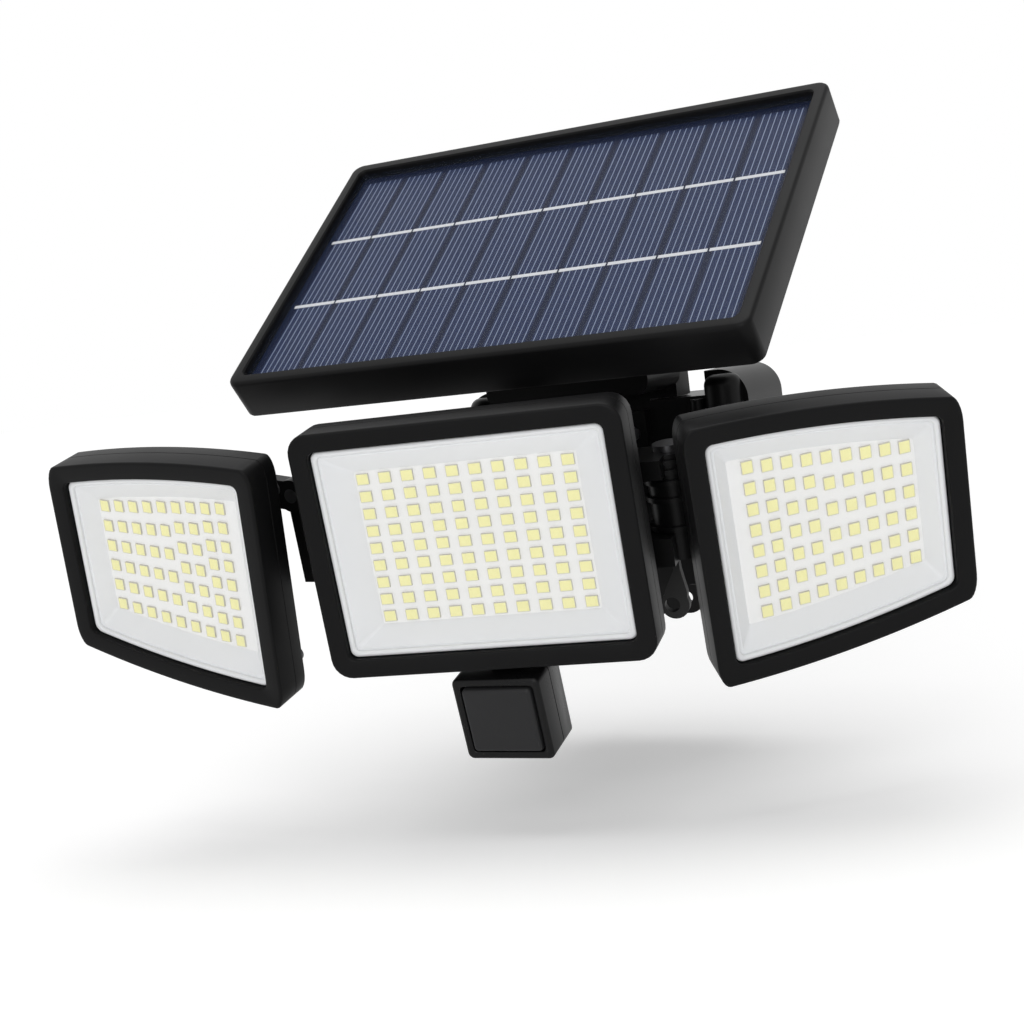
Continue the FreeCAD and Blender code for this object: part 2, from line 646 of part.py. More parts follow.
# ---------------------------------------------------------------- yoke and swivel
def make_yoke():
    """Bridge behind the middle head: ears for the tilt pin, and a pair of barrel lugs on each side."""
    solids, tools = [], []
    low_slot = "yoke_slot"
    solids.append(box("yoke_beam", "-yoke_wide", "yoke_wide", "head_back", "yoke_rear", "yoke_low", "yoke_high"))
    tools.append(box("yoke_gap", "-%s" % low_slot, low_slot, "head_back + 2", "yoke_rear + 1",
                     "yoke_low - 1", "yoke_high + 1"))
    for k, s in enumerate((-1, 1)):
        span = lambda a, b, s=s: (a, b) if s > 0 else ("-(%s)" % b, "-(%s)" % a)
        x0, x1 = span("block_half + face_gap", "block_half + face_gap + yoke_ear")
        solids.append(rod("yoke_eye%d" % k, "X", "knuckle_radius", x0, x1,
                          y="%.4f" % TILT_PIN_Y, z="%.4f" % TILT_PIN_Z))
        x0, x1 = span("yoke_wide - 3", "barrel_x")
        for name, low, high in (("top", "sleeve_top + face_gap", "barrel_top"),
                                ("low", "barrel_low", "sleeve_low - face_gap")):
            solids.append(box("lug_%s%d" % (name, k), x0, x1, "yoke_rear - 8", "barrel_y + 5", low, high))
            solids.append(rod("knuckle_%s%d" % (name, k), "Z", "barrel_radius", low, high,
                              x="%d * barrel_x" % s, y="barrel_y"))
        for name, low in (("rest", "sleeve_top + face_gap"), ("crown", "barrel_top - band_high - 1.6")):
            solids.append(rod("band_%s%d" % (name, k), "Z", "barrel_radius + band_out", low, low + " + band_high",
                              x="%d * barrel_x" % s, y="barrel_y"))
        tools.append(rod("barrel_hole%d" % k, "Z", "barrel_pin", -30, 30, x="%d * barrel_x" % s, y="barrel_y"))
    ears = []
    for k, s in enumerate((-1, 1)):
        span = lambda a, b, s=s: (a, b) if s > 0 else ("-(%s)" % b, "-(%s)" % a)
        x0, x1 = span("block_half + face_gap", "block_half + face_gap + yoke_ear")
        ears.append(box("yoke_cheek%d" % k, x0, x1, "head_back", "%.4f" % TILT_PIN_Y,
                        "%.4f - knuckle_radius" % TILT_PIN_Z, "%.4f + knuckle_radius" % TILT_PIN_Z))
    beam = cut("yoke_slotted", solids[0], tools[0])
    body = fuse("yoke_body", beam, *(solids[1:] + ears))
    pin_hole = rod("yoke_pin_hole", "X", "pin_radius", -20, 20, y="%.4f" % TILT_PIN_Y, z="%.4f" % TILT_PIN_Z)
    node(cut("lamp_yoke", body, pin_hole, *tools[1:]), "lamp_yoke", LAMP)


def make_yoke_pins():
    reach = "block_half + face_gap + yoke_ear"
    shaft = rod("tilt_shaft", "X", "pin_radius", "-(%s)" % reach, reach,
                y="%.4f" % TILT_PIN_Y, z="%.4f" % TILT_PIN_Z)
    knob = rod("tilt_head", "X", "pin_radius + 1.6", reach, reach + " + 2",
               y="%.4f" % TILT_PIN_Y, z="%.4f" % TILT_PIN_Z)
    node(fuse("tilt_pin", shaft, knob), "tilt_pin", LAMP)
    for which in ("left", "right"):
        s = HEADS[which]["sign"]
        shaft = rod(which + "_barrel_shaft", "Z", "barrel_pin", "barrel_low", "barrel_top",
                    x="%d * barrel_x" % s, y="barrel_y")
        top = rod(which + "_barrel_head", "Z", "barrel_pin + 1.8", "barrel_top", "barrel_top + 2",
                  x="%d * barrel_x" % s, y="barrel_y")
        node(fuse(which + "_barrel_pin", shaft, top), which + "_barrel_pin", LAMP)


def make_charge_plug():
    """Rubber plug of the charging socket: a thin strap, a web that widens, and a finger ring."""
    stem = box("plug_stem", 52.6, 54.8, 30, 33, -28, "barrel_low")
    prism = doc.addObject("Part::Feature", "plug_gore")
    corners = [(52.6, -25.0), (54.8, -25.0), (56.0, -33.0), (55.6, -36.0), (47.4, -36.0), (49.0, -31.5)]
    ring_wire = Part.makePolygon([Vector(x, 30.0, z) for x, z in corners + corners[:1]])
    prism.Shape = Part.Face(ring_wire).extrude(Vector(0, 3.0, 0))
    ring = rod("plug_ring", "Y", 4.7, 30, 33, x=51.5, z=-36.8)
    hole = rod("plug_hole", "Y", 2.5, 29, 34, x=50.6, z=-36.7)
    node(cut("charge_plug", fuse("plug_body", stem, prism, ring), hole), "charge_plug", LAMP)


FOOT_SCREWS = ((-13, -16), (13, -16), (-13, 20), (13, 20))


def make_swivel():
    """Fixed arm from the housing to the upright spindle, and the block that hangs in its eye."""
    beam = box("arm_beam", "-knuckle_radius", "knuckle_radius", "-swivel_reach", "-house_front", "arm_low",
               "arm_high")
    eye = rod("arm_eye", "Z", "knuckle_radius", "arm_low", "arm_high", y="-swivel_reach")
    rib = box("arm_rib", -3, 3, "-swivel_reach + 28", "-house_front", "-14", "arm_low")
    foot = box("arm_foot", -18, 18, "-house_front - 4", "-house_front", "-22", "arm_high + 4")
    bore = rod("arm_bore", "Z", "spindle_radius + run_fit", 0, 40, y="-swivel_reach")
    holes = [rod("foot_hole%d" % k, "Y", "screw_shank", "-house_front - 10", "-house_front + 10", x=x, z=z)
             for k, (x, z) in enumerate(FOOT_SCREWS)]
    node(cut("swivel_arm", fuse("arm_body", beam, eye, rib, foot), bore, *holes), "swivel_arm")
    spindle = rod("spindle", "Z", "spindle_radius", "arm_low - 2", "arm_high + face_gap")
    shoulder = rod("shoulder", "Z", "knuckle_radius", "8", "arm_low - face_gap")
    tongue = box("block_tongue", "-block_half", "block_half", "-block_half", "block_half", "0", "9")
    nose = rod("block_nose", "X", "knuckle_radius - 1", "-block_half", "block_half")
    bore = rod("block_bore", "X", "pin_radius + run_fit", -20, 20)
    block = cut("swivel_block", fuse("block_body", spindle, shoulder, tongue, nose), bore)
    node(block, "swivel_block", SWIVEL)
    cap = rod("swivel_cap", "Z", "knuckle_radius - 0.5", "arm_high + face_gap", "arm_high + face_gap + cap_thick")
    node(cap, "swivel_cap", SWIVEL)


# ---------------------------------------------------------------- motion sensor
SENSOR = LAMP.multiply(Placement(Vector(stem_x, stem_y, -sensor_drop), Rotation(UP, sensor_yaw)))
TIPPED = SENSOR.multiply(Placement(Vector(0, -sensor_ahead, 0), Rotation(RIGHT, sensor_tip)))
SENSOR_FACE = TIPPED.multiply(Placement(Vector(), ON_FACE))


def shell_body(name, wide, high, thick, corner, wall=None, floor=None):
    """A rounded block as a PartDesign body, hollowed from its open top when a wall is given."""
    body = doc.addObject("PartDesign::Body", name)
    sketch = new_sketch(body, name + "_outline")
    add_rectangle(sketch, wide, high)
    base = pad(body, sketch, name + "_pad", thick)
    tip = fillet(body, base, name + "_corners", corner, along(UP))
    if wall is not None:
        inner = new_sketch(body, name + "_hollow", lift=thick)
        add_rectangle(inner, "(%s) - 2 * %s" % (wide, wall), "(%s) - 2 * %s" % (high, wall))
        tip = pocket(body, inner, name + "_well", "(%s) - (%s)" % (thick, floor))
    return body, tip


def make_sensor():
    """Two shells with a raised square lens in front, on an upright stem under the middle head."""
    front, tip = shell_body("sensor_front", "sensor_wide", "sensor_high", "sensor_seam", "2.0")
    window = new_sketch(front, "sensor_window", lift="sensor_seam")
    add_rectangle(window, "sensor_wide - 2 * sensor_inset", "sensor_high - 2 * sensor_inset")
    pocket(front, window, "sensor_opening", "sensor_seam")
    node(front, "sensor_front", SENSOR_FACE.multiply(Placement(Vector(0, 0, -sensor_seam), Rotation())))
    depth = "sensor_deep - sensor_seam"
    back, tip = shell_body("sensor_back", "sensor_wide", "sensor_high", depth, "2.0", "sensor_wall",
                           "sensor_wall")
    node(back, "sensor_back", SENSOR_FACE.multiply(Placement(Vector(0, 0, -sensor_deep), Rotation())))
    half_x, half_z = "sensor_wide / 2 - sensor_inset - 0.15", "sensor_high / 2 - sensor_inset - 0.15"
    slab = box("sensor_lens_slab", "-(%s)" % half_x, half_x, "-(%s)" % half_z, half_z, -3.5, 1.0)
    lens = rounded("sensor_lens_corners", slab, 1.8, along(UP))
    node(rounded("sensor_lens", lens, 0.8, at_height(1.0)), "sensor_lens", SENSOR_FACE)
    board = box("sensor_board", -11, 11, -9, 9, "-sensor_seam + 0.2", "-sensor_seam + 1.8")
    node(board, "sensor_board", SENSOR_FACE)
    can = rod("sensor_element", "Z", 4.1, "-sensor_seam + 1.8", "-sensor_seam + 5.6")
    node(can, "sensor_element", SENSOR_FACE)
    low, high = "sensor_high / 2 - 2", "sensor_drop - centre_high / 2 - socket_low - face_gap"
    collar = rod("stem_collar_disc", "Z", "stem_collar", low, high)
    shaft = rod("stem_shaft", "Z", "stem_radius", low, "sensor_drop - centre_high / 2 + 4")
    hull = box("stem_trim", -40, 40, -40, 40, -40, "sensor_high / 2")
    doc.recompute()
    for axis in "xyz":
        hull.setExpression("Placement.Base." + axis, None)
    hull.Placement = SENSOR.inverse().multiply(TIPPED).multiply(hull.Placement)
    node(cut("sensor_stem", fuse("stem_body", collar, shaft), hull), "sensor_stem", SENSOR)


# ---------------------------------------------------------------- solar panel
PANEL = Placement(Vector(0, panel_y, panel_z), Rotation(RIGHT, panel_tilt))
HINGE = Placement(Vector(0, hinge_y, hinge_z), Rotation(RIGHT, panel_tilt))


def make_panel():
    """Deep tray with a glazed face: cells on a sheet under the glass, and a hinge foot below."""
    tray, tip = shell_body("panel_tray", "panel_wide", "panel_long", "panel_thick", "panel_corner")
    sunk = new_sketch(tray, "panel_face", lift="panel_thick")
    add_rectangle(sunk, "panel_wide - 2 * panel_rim", "panel_long - 2 * panel_rim")
    pocket(tray, sunk, "panel_recess", "glass_sunk + glass_thick + cell_thick")
    well = new_sketch(tray, "panel_hollow", lift="panel_thick")
    add_rectangle(well, "panel_wide - 2 * panel_rim - 6", "panel_long - 2 * panel_rim - 6")
    pocket(tray, well, "panel_well", "panel_thick - panel_wall")
    node(tray, "panel_tray", PANEL.multiply(Placement(Vector(0, 0, -panel_thick), Rotation())))
    half_x, half_y = "panel_wide / 2 - panel_rim - 0.2", "panel_long / 2 - panel_rim - 0.2"
    glass = box("panel_glass", "-(%s)" % half_x, half_x, "-(%s)" % half_y, half_y,
                "-glass_sunk - glass_thick", "-glass_sunk")
    node(glass, "panel_glass", PANEL)
    low = "-glass_sunk - glass_thick - cell_thick"
    cells = box("panel_cells", "-(%s)" % half_x, half_x, "-(%s)" % half_y, half_y, low,
                "-glass_sunk - glass_thick")
    node(cells, "panel_cells", PANEL)
    under = (PANEL.multiply(Placement(Vector(0, 0, -panel_thick), Rotation())))
    drop = HINGE.inverse().multVec(under.Base).z
    gap = "%.6f" % drop
    plate = box("base_plate", "-base_wide / 2", "base_wide / 2", "-base_long / 2", "base_long / 2",
                gap + " - base_thick", gap)
    parts = [plate]
    for k, s in enumerate((-1, 1)):
        span = lambda a, b, s=s: (a, b) if s > 0 else ("-(%s)" % b, "-(%s)" % a)
        x0, x1 = span("hinge_lug + face_gap", "hinge_lug + face_gap + hinge_ear")
        parts.append(box("base_cheek%d" % k, x0, x1, "-hinge_radius", "hinge_radius", "0", gap + " - 1"))
        parts.append(rod("base_eye%d" % k, "X", "hinge_radius", x0, x1))
    bore = rod("base_bore", "X", "hinge_pin", -40, 40)
    node(cut("panel_base", fuse("base_body", *parts), bore), "panel_base", HINGE)
    reach = "hinge_lug + face_gap + hinge_ear"
    shaft = rod("panel_shaft", "X", "hinge_pin", "-(%s)" % reach, reach)
    node(shaft, "panel_pin", HINGE)
    knob = rod("knob_disc", "X", "hinge_radius + 0.4", reach, reach + " + 6")
    node(knob, "panel_knob", HINGE)


def make_stand():
    """Neck block on the housing's front that carries the panel's hinge lug."""
    body = doc.addObject("PartDesign::Body", "panel_stand_block")
    sketch = new_sketch(body, "stand_outline", "XZ_Plane", "house_front")
    add_rectangle(sketch, "2 * stand_half", "stand_high - stand_low", 0, "(stand_high + stand_low) / 2")
    base = pad(body, sketch, "stand_pad", "stand_front - house_front")
    tip = fillet(body, base, "stand_rounds", "stand_round", along(BACKWARD))
    lug = box("stand_lug", "-hinge_lug", "hinge_lug", "hinge_y - hinge_radius", "hinge_y + hinge_radius",
              "stand_high - 2", "hinge_z")
    eye = rod("stand_eye", "X", "hinge_radius", "-hinge_lug", "hinge_lug", y="hinge_y", z="hinge_z")
    bore = rod("stand_bore", "X", "hinge_pin + run_fit", -20, 20, y="hinge_y", z="hinge_z")
    node(cut("panel_stand", fuse("stand_body", body, lug, eye), bore), "panel_stand")


# ---------------------------------------------------------------- housing on the wall
def notches(name):
    """The two low places in the top of the housing and its plate, beside the neck."""
    out = []
    for k, s in enumerate((-1, 1)):
        x0, x1 = ("notch_in", "notch_out") if s > 0 else ("-notch_out", "-notch_in")
        out.append(box("%s_notch%d" % (name, k), x0, x1, "-house_front - 1", 1, "notch_low", "house_high + 1"))
    return out


def make_wall_plate():
    """Back plate that is screwed to the wall through an ear above and one below the housing."""
    body = doc.addObject("PartDesign::Body", "plate_slab")
    sketch = new_sketch(body, "plate_outline", "XZ_Plane")
    add_rectangle(sketch, "2 * plate_half_x", "2 * plate_half_z")
    base = pad(body, sketch, "plate_pad", "plate_thick")
    if body.Shape.BoundBox.YMax > 0.1:
        base.Reversed = True
        doc.recompute()
    fillet(body, base, "plate_corners", "plate_corner", along(BACKWARD))
    ear = box("plate_ear", "-ear_half_x", "ear_half_x", "-plate_thick", 0, "-ear_half_z", "ear_half_z")
    ears = rounded("plate_ears", ear, 5.0, along(BACKWARD))
    tools = notches("plate")
    for i, sx in enumerate((-1, 1)):
        for j, sz in enumerate((-1, 1)):
            tools.append(rod("plate_hole%d%d" % (i, j), "Y", "plate_hole", -10, 1, x="%d * hole_x" % sx,
                             z="%d * hole_z" % sz))
    node(cut("wall_plate", fuse("plate_body", body, ears), *tools), "wall_plate")


def make_housing():
    """Front shell with two rounded columns and a neck for the stand, open towards the wall."""
    rear = "-plate_thick"
    shell = box("house_shell", "-house_half_x", "house_half_x", "-house_front", rear, "house_low", "house_high")
    soft = rounded("house_soft", shell, house_corner, along(BACKWARD))
    solids = [cut("house_stepped", soft, *notches("house"))]
    for k, s in enumerate((-1, 1)):
        column = rod("column%d" % k, "Z", "column_radius", "house_low + 6", "column_top",
                     x="%d * column_x" % s, y="-house_front")
        solids.append(rounded("column_dome%d" % k, column, 4.0, at_height(column_top)))
        solids.append(rod("post%d" % k, "Z", 2.6, 4, "notch_low - 1.0", x="%d * (notch_out - 3)" % s,
                          y="-house_front - 1.4"))
    solids.append(box("neck", "-stand_half + 2", "stand_half - 2", "-house_front", "-house_front + 12",
                      "house_high - 8", "neck_high"))
    well = box("house_well", "-house_half_x + house_wall", "house_half_x - house_wall",
               "-house_front + house_wall", rear + " + 1", "house_low + house_wall", "notch_low - house_wall")
    button = rod("button_bore", "Z", "button_radius + run_fit", "house_low - 1", "house_low + house_wall + 1",
                 x=24, y=-20)
    holes = [rod("house_screw_hole%d" % k, "Y", "screw_shank", "-house_front - 1", "-house_front + 10", x=x, z=z)
             for k, (x, z) in enumerate(FOOT_SCREWS)]
    node(cut("main_housing", fuse("house_body", *solids), well, button, *holes), "main_housing")


def make_housing_insides():
    """Two battery cells, the control board, the seal on the wall plate, and the mode button."""
    rear = "-plate_thick"
    outer = box("seal_slab", "-house_half_x + house_wall", "house_half_x - house_wall", rear + " - seal_thick",
                rear, "house_low + house_wall", "notch_low - house_wall")
    inner = box("seal_hole", "-house_half_x + house_wall + gasket_wide",
                "house_half_x - house_wall - gasket_wide", rear + " - seal_thick - 1", rear + " + 1",
                "house_low + house_wall + gasket_wide", "notch_low - house_wall - gasket_wide")
    node(cut("housing_seal", outer, inner), "housing_seal")
    cells = [rod("cell%d" % k, "X", "cell_radius", "-cell_long / 2", "cell_long / 2",
                 y="-house_front + house_wall + cell_radius", z="%d * (cell_radius + 0.3) - 2" % s)
             for k, s in enumerate((-1, 1))]
    pack = doc.addObject("Part::Compound", "battery_cells")
    pack.Links = cells
    node(pack, "battery_cells")
    board = box("control_board", -40, 40, "-plate_thick - board_thick", "-plate_thick", -28, 26)
    node(board, "control_board")
    cap = rod("button_cap", "Z", "button_radius", "house_low - 2", "house_low + house_wall + 2", x=24, y=-20)
    flange = rod("button_flange", "Z", "button_radius + 1.5", "house_low + house_wall + 1.3",
                 "house_low + house_wall + 2.6", x=24, y=-20)
    node(fuse("mode_button", cap, flange), "mode_button")
    parts = []
    for k, (x, z) in enumerate(FOOT_SCREWS):
        shank = rod("foot_shank%d" % k, "Y", "screw_shank", "-house_front - 4", "-house_front + house_wall",
                    x=x, z=z)
        parts.append(shank)
        parts.append(rod("foot_head%d" % k, "Y", "screw_head", "-house_front - 4 - screw_deep",
                         "-house_front - 4", x=x, z=z))
    fixed = [fuse("foot_screw%d" % k, parts[2 * k], parts[2 * k + 1]) for k in range(4)]
    screws = doc.addObject("Part::Compound", "arm_screws")
    screws.Links = fixed
    node(screws, "arm_screws")


# ---------------------------------------------------------------- assembly
for which in ("centre", "left", "right"):
    make_head(which)
for which in ("left", "right"):
    make_sleeve(which)
    make_arm(which)
    make_hinge_pins(which)
make_yoke()
make_yoke_pins()
make_charge_plug()
make_swivel()
make_sensor()
make_panel()
make_stand()
make_wall_plate()
make_housing()
make_housing_insides()
doc.recompute()

for obj in doc.Objects:
    if "Invalid" in obj.State or "Error" in obj.State:
        raise RuntimeError("%s failed: %s" % (obj.Name, obj.State))
os.makedirs("parts", exist_ok=True)
for obj in NODES:
    shape = obj.Shape
    if shape.isNull() or not shape.isValid():
        raise RuntimeError(obj.Label + " has no valid shape")
for obj in NODES:
    obj.Shape.exportStep("parts/%s.step" % obj.Label)
print(len(NODES), "nodes")
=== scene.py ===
import json
import math
import bpy
import bmesh
from mathutils import Matrix, Vector


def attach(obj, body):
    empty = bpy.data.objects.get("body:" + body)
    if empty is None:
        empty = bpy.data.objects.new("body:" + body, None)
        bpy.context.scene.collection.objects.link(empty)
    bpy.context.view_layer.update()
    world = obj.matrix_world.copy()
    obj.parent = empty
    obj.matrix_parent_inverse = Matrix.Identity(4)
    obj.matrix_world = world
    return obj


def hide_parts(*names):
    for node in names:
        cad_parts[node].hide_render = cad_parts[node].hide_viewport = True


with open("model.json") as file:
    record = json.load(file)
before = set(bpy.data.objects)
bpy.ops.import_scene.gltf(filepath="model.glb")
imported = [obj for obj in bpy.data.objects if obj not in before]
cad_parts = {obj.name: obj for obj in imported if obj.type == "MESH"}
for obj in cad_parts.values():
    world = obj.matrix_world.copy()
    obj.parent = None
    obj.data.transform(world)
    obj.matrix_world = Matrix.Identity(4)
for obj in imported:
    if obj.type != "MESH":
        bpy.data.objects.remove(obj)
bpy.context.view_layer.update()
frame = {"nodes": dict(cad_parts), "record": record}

scene = bpy.context.scene
scene.view_settings.view_transform = "Standard"

# ------------------------------------------------------------ camera
# The camera stands in front of the light, to its right and a little above the lamp heads,
# about 0.6 m away, where the photograph was taken from. Its picture is 1024 pixels square.
photo_lens = bpy.data.cameras.new("photo_camera")
photo_lens.sensor_width = 36.0
photo_lens.lens = 36.0 * 1759.7 / 1024
photo_lens.clip_start = 0.02
photo_lens.clip_end = 20.0
camera = bpy.data.objects.new("photo_camera", photo_lens)
scene.collection.objects.link(camera)
to_right = Vector((0.8724, 0.4726, -0.1246))
to_front = Vector((-0.4854, 0.8676, -0.1082))
turn = Matrix((to_right, to_right.cross(to_front), -to_front)).transposed()
camera.matrix_world = Matrix.Translation(Vector((0.27826, -0.60787, 0.06578))) @ turn.to_4x4()
scene.camera = camera


# ------------------------------------------------------------ finishes
# Every finish is mixed from procedural nodes on object coordinates: a socket with the
# operators that a maker's formula needs, and one method that adds any other node.
class Tone:
    def __init__(self, mix, socket):
        self.mix, self.socket = mix, socket

    def math(self, kind, other):
        return self.mix.add("ShaderNodeMath", {"operation": kind}, {0: self, 1: other})

    def __add__(self, other): return self.math("ADD", other)
    def __mul__(self, other): return self.math("MULTIPLY", other)


class Finish:
    def __init__(self, name, **fixed):
        fixed.setdefault("Specular_IOR_Level", 0.35)
        self.material = bpy.data.materials.new(name)
        self.material.use_nodes = True
        self.tree = self.material.node_tree
        self.shader = self.tree.nodes["Principled BSDF"]
        for key, value in fixed.items():
            self.shader.inputs[key.replace("_", " ")].default_value = value
        self.place = self.add("ShaderNodeTexCoord", {}, {}, "Object")

    def add(self, kind, settings, sockets, out=0):
        node = self.tree.nodes.new(kind)
        for key, value in settings.items():
            setattr(node, key, value)
        for key, value in sockets.items():
            if isinstance(value, Tone):
                self.tree.links.new(value.socket, node.inputs[key])
            else:
                node.inputs[key].default_value = value
        return Tone(self, node.outputs[out])

    def noise(self, scale, detail=2.0, rough=0.5):
        return self.add("ShaderNodeTexNoise", {}, {"Vector": self.place, "Scale": scale,
                                                   "Detail": detail, "Roughness": rough})

    def blend(self, factor, one, two):
        node = self.tree.nodes.new("ShaderNodeMix")
        node.data_type = "RGBA"
        for key, value in ((0, factor), (6, one), (7, two)):
            if isinstance(value, Tone):
                self.tree.links.new(value.socket, node.inputs[key])
            else:
                node.inputs[key].default_value = value if key == 0 else (*value, 1.0)
        return Tone(self, node.outputs[2])

    def feed(self, name, value):
        self.tree.links.new(value.socket, self.shader.inputs[name])

    def bump(self, height, strength, distance):
        out = self.add("ShaderNodeBump", {},
                       {"Strength": strength, "Distance": distance, "Height": height})
        self.feed("Normal", out)


def moulded_plastic(name, dark, light, rough, grain=0.05, coat=0.0, shine=0.35):
    """Injection moulded plastic: faint cloudiness in the colour and a fine spark-eroded grain."""
    finish = Finish(name, Coat_Weight=coat, Coat_Roughness=0.2, Specular_IOR_Level=shine)
    cloud = finish.noise(38.0, 3.0)
    fine = finish.noise(2600.0, 2.0, 0.6)
    finish.feed("Base Color", finish.blend(cloud, dark, light))
    finish.feed("Roughness", cloud * 0.10 + (rough - 0.05) + fine * 0.04)
    finish.bump(fine, grain, 0.00012)
    return finish.material


black_plastic = moulded_plastic("black_plastic", (0.0036, 0.0036, 0.0038), (0.0050, 0.0050, 0.0053),
                                0.40, shine=0.10)
hinge_plastic = moulded_plastic("hinge_plastic", (0.0035, 0.0035, 0.0037), (0.0055, 0.0055, 0.0057),
                                0.33, shine=0.14)


# ------------------------------------------------------------ where the pieces hang
# The lamp group is turned and tipped on its swivel, and each side head again on its own
# hinges; the solar panel leans back on its stand. Sizes are in millimetres.
def rest(x, y, z, yaw=0.0, roll=0.0, tilt=0.0):
    turned = (Matrix.Rotation(math.radians(yaw), 4, "Z") @ Matrix.Rotation(math.radians(roll), 4, "Y")
              @ Matrix.Rotation(math.radians(tilt), 4, "X"))
    return Matrix.Translation(Vector((x, y, z))) @ turned


facing = Matrix.Rotation(math.radians(90), 4, "X")
lamp = rest(0, -120, 0, yaw=11.10) @ rest(0, -23.15, 0, tilt=9.606)
HEAD = {"centre": lamp @ facing,
        "left": lamp @ rest(-109.78, 6.53, -1.76, -12.05, 9.09, 5.44) @ facing,
        "right": lamp @ rest(106.84, 17.54, -9.18, 24.29, -2.03, 8.19) @ facing}
BODY = {"centre": "lamp", "left": "left_head", "right": "right_head"}
SIGN = {"centre": 0, "left": -1, "right": 1}
panel_place = rest(0, -78.67, 93.53, tilt=37.31)
sensor_place = lamp @ rest(0.57, 5.3, -58.14, yaw=-5.93) @ rest(0, -11.36, 0, tilt=4.93) @ facing


def finish_piece(bm, name, place, body, materials, replaces=(), smooth=35, weld=0.001):
    """Turn a bmesh in local millimetres into a piece of the object."""
    if weld:
        bmesh.ops.remove_doubles(bm, verts=bm.verts, dist=weld)
    bmesh.ops.recalc_face_normals(bm, faces=bm.faces)
    bmesh.ops.transform(bm, matrix=Matrix.Scale(0.001, 4) @ place, verts=bm.verts)
    mesh = bpy.data.meshes.new(name)
    bm.to_mesh(mesh)
    bm.free()
    piece = bpy.data.objects.new(name, mesh)
    scene.collection.objects.link(piece)
    for material in materials:
        mesh.materials.append(material)
    mesh.shade_smooth()
    mesh.set_sharp_from_angle(angle=math.radians(smooth))
    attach(piece, body)
    if replaces:
        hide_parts(*replaces)


# ------------------------------------------------------------ frames of the lamp heads
# Each head has a black moulded frame round its front: a rounded outer edge, a flat band that
# falls inwards a little, and a wall down to the white reflector. The cup behind it snaps on.
RECTANGLES = {"centre": (107.0, 81.0), "panel": (190.0, 124.5), "sensor": (30.0, 28.5)}
SIDE_INNER, SIDE_OUTER = 43.4, 40.3  # a side head's reach towards the middle head and away from it
SIDE_HALF_HIGH = 42.8                # at its inner end, where it is highest
ARC_RADIUS = 360.0                   # its long edges are arcs that close in outwards
CORNER = {"centre": 6.5, "left": 7.5, "right": 7.5}


def outline(bm, which, inset_x, inset_z, corner, level):
    """One closed outline of a head, drawn in by an inset, as a flat face at a local height."""
    older = set(bm.faces)
    steps = 1 if which in RECTANGLES else 28
    for vert in bmesh.ops.create_grid(bm, x_segments=steps, y_segments=1, size=1.0)["verts"]:
        x, z = vert.co.x, vert.co.y
        if which in RECTANGLES:
            wide, high = RECTANGLES[which]
            vert.co = Vector((x * (wide / 2 - inset_x), z * (high / 2 - inset_z), level))
            continue
        inner, outer = SIDE_INNER - inset_x, SIDE_OUTER - inset_x
        along = (outer - inner) / 2 + x * (outer + inner) / 2
        radius = ARC_RADIUS - inset_z
        high = math.sqrt(radius ** 2 - (along + SIDE_INNER) ** 2) - (ARC_RADIUS - SIDE_HALF_HIGH)
        vert.co = Vector((along * SIGN[which], z * high, level))
    if steps > 1:
        bmesh.ops.dissolve_faces(bm, faces=[f for f in bm.faces if f not in older])
    face = next(f for f in bm.faces if f not in older)
    xs = sorted(v.co.x for v in face.verts)
    ends = [v for v in face.verts if v.co.x in (xs[0], xs[-1])]
    bmesh.ops.bevel(bm, geom=ends, offset=corner, offset_type="OFFSET", segments=6, profile=0.5,
                    affect="VERTICES", material=-1)
    face = max((f for f in bm.faces if f not in older), key=lambda f: f.calc_area())
    face.normal_update()
    if face.normal.z < 0:
        face.normal_flip()
    return face


def start_of(shape):
    """Where a closed outline starts: its leftmost, lowest corner."""
    return min(range(len(shape)), key=lambda i: (round(shape[i].x, 3), round(shape[i].y, 3)))


def skin(bm, which, levels, ring=False):
    """A solid grown outline by outline, each (inset_x, inset_z, corner, level).

    As a ring it closes on its first outline and stays open in the middle.
    """
    shapes = []
    for level in levels:
        flat = outline(bm, which, *level)
        shapes.append([vert.co.copy() for vert in flat.verts])
        if len(shapes) > 1:
            bmesh.ops.delete(bm, geom=[flat], context="FACES")
        else:
            face = first = flat
    home = start_of(shapes[0])
    for shape in shapes[1:] + (shapes[:1] if ring else []):
        shift = start_of(shape) - home
        grown = bmesh.ops.extrude_face_region(bm, geom=[face])["geom"]
        if face is not first and face.is_valid:
            bmesh.ops.delete(bm, geom=[face], context="FACES_ONLY")
        face = next(item for item in grown if isinstance(item, bmesh.types.BMFace))
        for i, vert in enumerate(list(face.verts)):
            vert.co = shape[(i + shift) % len(shape)]
    if ring:
        bmesh.ops.delete(bm, geom=[first, face], context="FACES_ONLY")
        bmesh.ops.remove_doubles(bm, verts=bm.verts, dist=0.0005)


def even(*levels):
    """Outlines (inset, corner, level) that are drawn in by the same amount all round."""
    return [(inset, inset, corner, level) for inset, corner, level in levels]


for which in ("centre", "left", "right"):
    bend = CORNER[which]
    bm = bmesh.new()
    skin(bm, which, even((0, bend, -0.5), (0, bend, 7.2), (0.09, bend - 0.05, 7.56),
                         (0.38, bend - 0.2, 7.88),
                         (0.8, bend - 0.5, 8.0), (1.3, bend - 0.9, 7.98), (5.5, 2.9, 7.75),
                         (5.85, 2.7, 7.62),
                         (6.05, 2.55, 7.35), (6.1, 2.5, 7.0), (6.1, 2.5, -0.5)), ring=True)
    finish_piece(bm, which + "_front_frame", HEAD[which], BODY[which], [black_plastic],
                 [which + "_bezel"])


